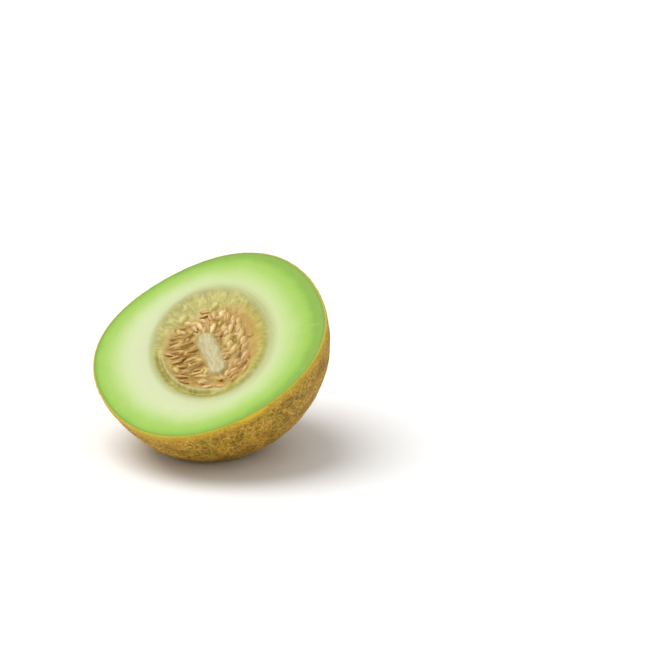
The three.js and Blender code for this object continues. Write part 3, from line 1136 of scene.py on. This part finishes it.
@dataclass
class SeedPulp:
    """The wet mass that fills the cavity, in one closed piece, and the strings over it."""

    PAINTED = (CREASE_SHADE, GREEN, PALE, SAC_HIGHLIGHT, EDGE)

    form: MelonForm
    top_grid: int = 190
    under_rows: int = 8
    core_height: float = -1.5
    bed_height: float = -3.5
    edge_drop: float = 1.2
    edge_spread: float = 6.0
    brim: float = 0.08
    wall_overlap: float = 0.25
    loose_sacs: int = 34
    sac_fall: float = 2.0
    ease: float = 0.45
    green_lumps: tuple = ((11, 33), (-12, 32))
    string_count: int = 64
    string_lift: float = 0.1

    def groove_side(self, around: Array) -> Array:
        """1 on the side where a groove parts the pulp from the wall, and 0 elsewhere."""
        return smoothstep(np.cos(around - math.radians(215)), 0.5, 0.86)

    def ways_round(self, points: Array) -> Array:
        """The way round the cavity to each point."""
        return np.arctan2(points[:, 1] - self.form.cavity_y, points[:, 0] - self.form.cavity_x)

    def bed(self, points: Array) -> Array:
        """Height of the pulp before its sacs and strings."""
        share = self.form.cavity_share(points)
        left = self.groove_side(self.ways_round(points))
        climb = smoothstep(share, 0.55, 1.04)
        height = self.bed_height + climb * (self.brim - self.bed_height)
        ridge, groove = hump(share, 0.86, 0.03), hump(share, 0.93, 0.036)
        height += left * (ridge - 1.6 * groove)
        return height + 0.6 * grain(points, 8, 6.6) * (1 - climb)

    def sacs(
        self, flat: Array, bed: Array, seats: list[tuple[Array, Array]]
    ) -> tuple[Array, Array]:
        """Swellings over the seeds, and more where no seed shows.

        Args:
            flat: places seen from above.
            bed: the pulp's height there without them.
            seats: the place and axes of each seed.

        Returns:
            The height of the swellings, and how near each place is to the top of one.
        """
        rng = np.random.default_rng(3)
        height = np.full(len(flat), -9.0)
        crest = np.zeros(len(flat))
        swellings = []
        for middle, axes in seats:
            lean = axes[1][:2] / max(np.linalg.norm(axes[1][:2]), 1e-6)
            swellings.append((middle[:2], lean, middle[2] + rng.uniform(-0.3, 1.35), 6.8, 3.2))
        for _ in range(self.loose_sacs):
            turn, reach = rng.uniform(0, 2 * math.pi), math.sqrt(rng.uniform(0.02, 0.72))
            x = self.form.cavity_x + reach * 33 * math.cos(turn)
            y = self.form.cavity_y + reach * 44 * math.sin(turn)
            way, size = rng.uniform(0, math.pi), rng.uniform(2.4, 5.2)
            level = float(self.bed(np.array(((x, y, 0.0),)))[0]) + rng.uniform(0.5, 1.5)
            lean = np.array((math.cos(way), math.sin(way)))
            swellings.append((np.array((x, y)), lean, level, size, 0.55 * size))
        for place in self.green_lumps:
            level = float(self.bed(np.array(((*place, 0.0),)))[0]) + 0.4
            swellings.append((np.array(place), np.array((0.8, 0.6)), level, 6.5, 4.4))
        for place, lean, level, length, width in swellings:
            offset = flat[:, :2] - place
            along = offset @ lean
            beside = offset @ np.array((-lean[1], lean[0]))
            spread = (along / length) ** 2 + (beside / width) ** 2
            rise = level - self.sac_fall * spread
            crest = np.where(rise > height, np.clip(1 - 1.6 * spread, 0, 1), crest)
            height = np.maximum(height, rise)
        return height, crest * smoothstep(height - bed, -0.6, 0.6)

    def heights(self, points: Array, seats: list[tuple[Array, Array]]) -> dict[str, Array]:
        """Works out the pulp's surface.

        Args:
            points: places seen from above, in the melon's own frame.
            seats: the place and axes of each seed.

        Returns:
            The height and the numbers that the finish reads, by name.
        """
        flat = points * np.array((1, 1, 0))
        bed = self.bed(flat)
        share = self.form.cavity_share(flat)
        sac, crest = self.sacs(flat, bed, seats)
        inner = 1 - smoothstep(share, 0.84, 0.98)
        lifted = np.maximum(bed - 0.5 * inner, sac * inner + (bed - 9) * (1 - inner))
        crowded = smoothstep(sac - bed, -4.0, -0.6)
        # How deep in a fold between swellings, for the painted shade there.
        crease_shade = np.clip((bed + 0.9 - lifted) / 1.4, 0, 1) * crowded * inner
        turn = self.ways_round(flat)
        spokes = np.stack((19 * np.cos(turn), 19 * np.sin(turn), 4.5 * share), 1)
        strings = grain(spokes, 1.0, 4.2)
        relief = 0.3 * (1 - np.abs(strings)) + 0.14 * grain(flat, 0.9, 8.1)
        height = lifted + relief * (0.12 + 0.88 * inner)
        from_core = self.form.core_distance(flat) + 1.1 * grain(flat, 4.5, 2.7)
        radius = self.form.core_radius
        core = 1 - smoothstep(from_core, radius - 1.3, radius + 2.6)
        fibre = 0.14 * grain(flat * np.array((1, 0.25, 1)), 1.3, 5.9) + 0.25 * grain(flat, 6, 1.9)
        dome = self.core_height - 0.014 * np.clip(from_core, 0, 9) ** 2
        height = height * (1 - core) + core * (dome + fibre)
        left = self.groove_side(turn)
        ridge, groove = left * hump(share, 0.86, 0.035), left * hump(share, 0.935, 0.04)
        top = smoothstep(flat[:, 1] + 3 * grain(flat, 8, 5.5), 20, 36)
        halo = 1 - smoothstep(from_core, radius, radius + 4)
        by_flesh = smoothstep(share + 0.05 * grain(flat, 5, 1.4), 0.9, 1.07)
        roof = self.brim + 0.05 * grain(flat, 3, 3.3)
        eased = -self.ease * np.logaddexp(-height / self.ease, -roof / self.ease)
        return {
            "height": inner * eased + (1 - inner) * np.minimum(height, roof),
            # Painted shade: in the groove on the lower left, EDGE and GREEN turn the pulp a darker
            # olive.
            EDGE: np.maximum(by_flesh, 0.3 * groove),
            CREASE_SHADE: np.clip(crease_shade * (1 - core) * (1 - 0.8 * top), 0, 1),
            GREEN: np.clip(smoothstep(share, 0.7, 1.0) + 0.85 * top + 0.25 * halo + groove, 0, 1),
            PALE: np.clip(core + 0.55 * ridge, 0, 1),
            SAC_HIGHLIGHT: crest * inner * (1 - core),
        }

    def edge(self, around: Array) -> Array:
        """The line under the lip of the flesh where the top of the mass ends."""
        line = self.form.bowl(around, 0.0, self.edge_spread)
        line[:, 2] = -self.edge_drop
        return line

    def build(self, seats: list[tuple[Array, Array]]) -> bpy.types.Object:
        """Models and dresses the pulp.

        Args:
            seats: the place and axes of each seed, whose sacs the pulp swells into.

        Returns:
            The finished object.
        """
        top = add_grid("pulp top", self.top_grid, self.top_grid)
        share, around = disc_from_square(read_points(top))
        edge = self.edge(around)
        middle = np.array((self.form.cavity_x, self.form.cavity_y, 0))
        points = middle + (edge * np.array((1, 1, 0)) - middle) * share[:, None]
        made = self.heights(points, seats)
        spread = self.form.cavity_share(points)
        tucked = smoothstep(spread + 0.012 * grain(points, 6, 8.3), 1.06, 1.14)
        points[:, 2] = made["height"] * (1 - tucked) + tucked * edge[:, 2]
        on_edge = share > 1 - 1e-6
        points[on_edge] = edge[on_edge]
        write_points(top, points)
        store(top, {name: made[name] for name in self.PAINTED})
        pulp = join([top, self.underside()], "seed_pulp_mass")
        close_up(pulp, 1e-3)
        self.dress(pulp, PulpFinish().material())
        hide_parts("seed_pulp")
        return pulp

    def dress(self, pulp: bpy.types.Object, finish: bpy.types.Material) -> None:
        """Stores each point's own place, gives out the finish and settles the pose."""
        own = read_points(pulp)
        turn = self.ways_round(own)
        share = self.form.cavity_share(own)
        store(pulp, {OWN: own})
        # Painted shade: pulp sunk below the face by the cavity's edge takes the darker colour of the
        # deeper wall.
        depth_shade = np.clip(-own[:, 2] - 0.3, 0, 5) * smoothstep(share, 0.88, 0.94)
        store(pulp, {REACH: np.clip(self.form.reach(own) - 0.03 * depth_shade, 0, 1)})
        store(pulp, {SPOKE: np.stack((np.cos(turn), np.sin(turn), 0.5 * share), 1)})
        write_points(pulp, self.form.settle(own))
        pulp.data.materials.clear()
        pulp.data.materials.append(finish)
        smooth_shade(pulp, 75)

    def underside(self) -> bpy.types.Object:
        """A sheet wrapped round the underside of the mass, against the cavity's wall."""
        sides = 4 * self.top_grid
        sheet = add_grid("pulp under", sides, self.under_rows)
        flat = read_points(sheet)
        column, row = grid_steps(flat, sides, self.under_rows)
        around = rounds(sides)[column % sides]
        drop = math.pi / 2 * np.clip(row, 0.3, None) / self.under_rows
        points = self.form.bowl(around, drop, self.wall_overlap)
        write_points(sheet, np.where((row == 0)[:, None], self.edge(around), points))
        store(sheet, dict.fromkeys(self.PAINTED, 0.0))
        return sheet

    def strings(self, seats: list[tuple[Array, Array]]) -> bpy.types.Object:
        """Thin wet strings that fan out over the pulp from the core.

        Args:
            seats: the place and axes of each seed, whose sacs the strings run over.

        Returns:
            One object that holds them all.
        """
        rng = np.random.default_rng(31)
        start, end = np.array(self.form.core_start), np.array(self.form.core_end)
        lines = []
        for index in range(self.string_count):
            side = 1 if index % 2 else -1
            place = start + (end - start) * rng.uniform(-0.35, 1.4)
            heading = (0 if side > 0 else math.pi) + side * rng.normal(0, 0.5)
            way = np.array((math.cos(heading), math.sin(heading)))
            out = rng.uniform(3.5, 15)
            run = np.linspace(0, rng.uniform(6, 16), 14)
            curl = rng.normal(0, 0.035) * run**2
            curl += 0.5 * np.sin(run * rng.uniform(0.4, 0.9) + rng.uniform(0, 6))
            beside = np.array((-way[1], way[0]))
            lines.append(place + way * (out + run)[:, None] + beside * curl[:, None])
        flat = np.concatenate(lines)
        height = self.heights(np.column_stack((flat, np.zeros(len(flat)))), seats)["height"]
        share = self.form.cavity_share(flat).reshape(self.string_count, -1).max(1)
        height = height.reshape(self.string_count, -1)
        finish, pieces = PulpFinish().material(), []
        even_out = (0.15, 0.2, 0.3, 0.2, 0.15)
        for line, level, reach in zip(lines, height, share):
            if reach > 0.86:
                continue
            level = np.convolve(np.pad(level, 2, "edge"), even_out, "valid") + self.string_lift
            pieces.append(self.string(np.column_stack((line, level)), rng.uniform(0.09, 0.2)))
        bundle = join(pieces, "pulp_strings")
        self.dress(bundle, finish)
        return bundle

    def string(self, line: Array, thickness: float) -> bpy.types.Object:
        """Draws a ball out into one string along a line of points."""
        deselect()
        bpy.ops.mesh.primitive_uv_sphere_add(segments=6, ring_count=14, radius=1)
        piece = bpy.context.object
        ball = read_points(piece)
        share = np.arccos(np.clip(-ball[:, 2], -1, 1)) / math.pi
        stops = np.linspace(0, 1, len(line))
        along = np.stack([np.interp(share, stops, line[:, axis]) for axis in range(3)], 1)
        level = np.hypot(ball[:, 0], ball[:, 1])
        turn = np.arctan2(ball[:, 1], ball[:, 0])
        way = line[-1, :2] - line[0, :2]
        way = way / np.linalg.norm(way)
        girth = thickness * level**0.6
        along[:, 0] += girth * np.cos(turn) * -way[1]
        along[:, 1] += girth * np.cos(turn) * way[0]
        along[:, 2] += girth * np.sin(turn)
        write_points(piece, along)
        # The strings take the colour of a swelling's top, which carries the painted highlight.
        store(piece, dict.fromkeys(self.PAINTED, 0.0) | {PALE: 0.2, SAC_HIGHLIGHT: 0.8})
        return piece


# ---------------------------------------------------------------------------------------
# Studio
# ---------------------------------------------------------------------------------------


@dataclass
class Studio:
    """Camera, floor and lights. Lengths are in metres."""

    azimuth: float = math.radians(32.75)
    elevation: float = math.radians(17)
    distance: float = 0.970
    beside: float = 0.0764
    above: float = 0.0048
    lens: float = 85
    floor_size: float = 14
    key_power: float = 2.15
    key_breadth: float = math.radians(48)
    sky_power: float = 0.6

    def axes(self) -> tuple[Vector, Vector, Vector]:
        """The camera's right, up and backward directions."""
        a, e = self.azimuth, self.elevation
        right = Vector((math.cos(a), math.sin(a), 0))
        back = Vector((math.sin(a) * math.cos(e), -math.cos(a) * math.cos(e), math.sin(e)))
        return right, back.cross(right), back

    def add_camera(self, focus: Vector) -> None:
        """Aims the camera past the melon, which leaves it to the left of the middle."""
        right, up, back = self.axes()
        data = bpy.data.cameras.new("camera")
        data.lens = self.lens
        data.sensor_width = 36
        camera = bpy.data.objects.new("camera", data)
        place = focus + right * self.beside + up * self.above + back * self.distance
        turn = Matrix((right, up, back)).transposed().to_4x4()
        camera.matrix_world = Matrix.Translation(place) @ turn
        bpy.context.scene.collection.objects.link(camera)
        bpy.context.scene.camera = camera

    def add_floor(self) -> bpy.types.Object:
        """A wide, plain floor at the height that the melon rests on."""
        deselect()
        bpy.ops.mesh.primitive_plane_add(size=self.floor_size)
        floor = bpy.context.object
        floor.name = "floor"
        floor.data.materials.append(FloorFinish().material())
        return floor

    def light(self) -> None:
        """One broad soft light from above on the left, and an even sky."""
        right, _, back = self.axes()
        toward = (Vector((0, 0, 1)) - right * 0.42 - back * 0.12).normalized()
        data = bpy.data.lights.new("key", "SUN")
        data.energy = self.key_power
        data.angle = self.key_breadth
        light = bpy.data.objects.new("key", data)
        light.rotation_euler = toward.to_track_quat("Z", "Y").to_euler()
        light.location = toward * 2
        bpy.context.scene.collection.objects.link(light)
        world = bpy.data.worlds.new("studio")
        world.use_nodes = True
        sky = world.node_tree.nodes["Background"]
        sky.inputs["Color"].default_value = (1, 1, 1, 1)
        sky.inputs["Strength"].default_value = self.sky_power
        bpy.context.scene.world = world
        bpy.context.scene.view_settings.view_transform = "Standard"


# ---------------------------------------------------------------------------------------


def report(piece: bpy.types.Object) -> None:
    """Makes a piece ride with the half and logs its size."""
    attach(piece, BODY)
    log.info("%s: %d faces", piece.name, len(piece.data.polygons))


def main() -> None:
    """Builds the half melon round the frame, piece by piece, and lights it."""
    logging.basicConfig(level=logging.INFO, format="%(name)s: %(message)s")
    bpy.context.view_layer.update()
    form = MelonForm()
    form.meet_frame("melon_half")
    focus = Vector(form.settle(np.zeros((1, 3)))[0])
    studio = Studio()
    studio.add_camera(focus)
    half = MelonHalf(form).build()
    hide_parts("melon_half")
    report(half)
    seeds = Seeds(form)
    kernels, seats = seeds.build()
    for kernel in kernels:
        report(kernel)
    pulp = SeedPulp(form)
    report(pulp.build(seats))
    report(pulp.strings(seats))
    report(seeds.buried(seats, pulp.bed))
    studio.add_floor()
    studio.light()


if __name__ == "__main__":
    main()
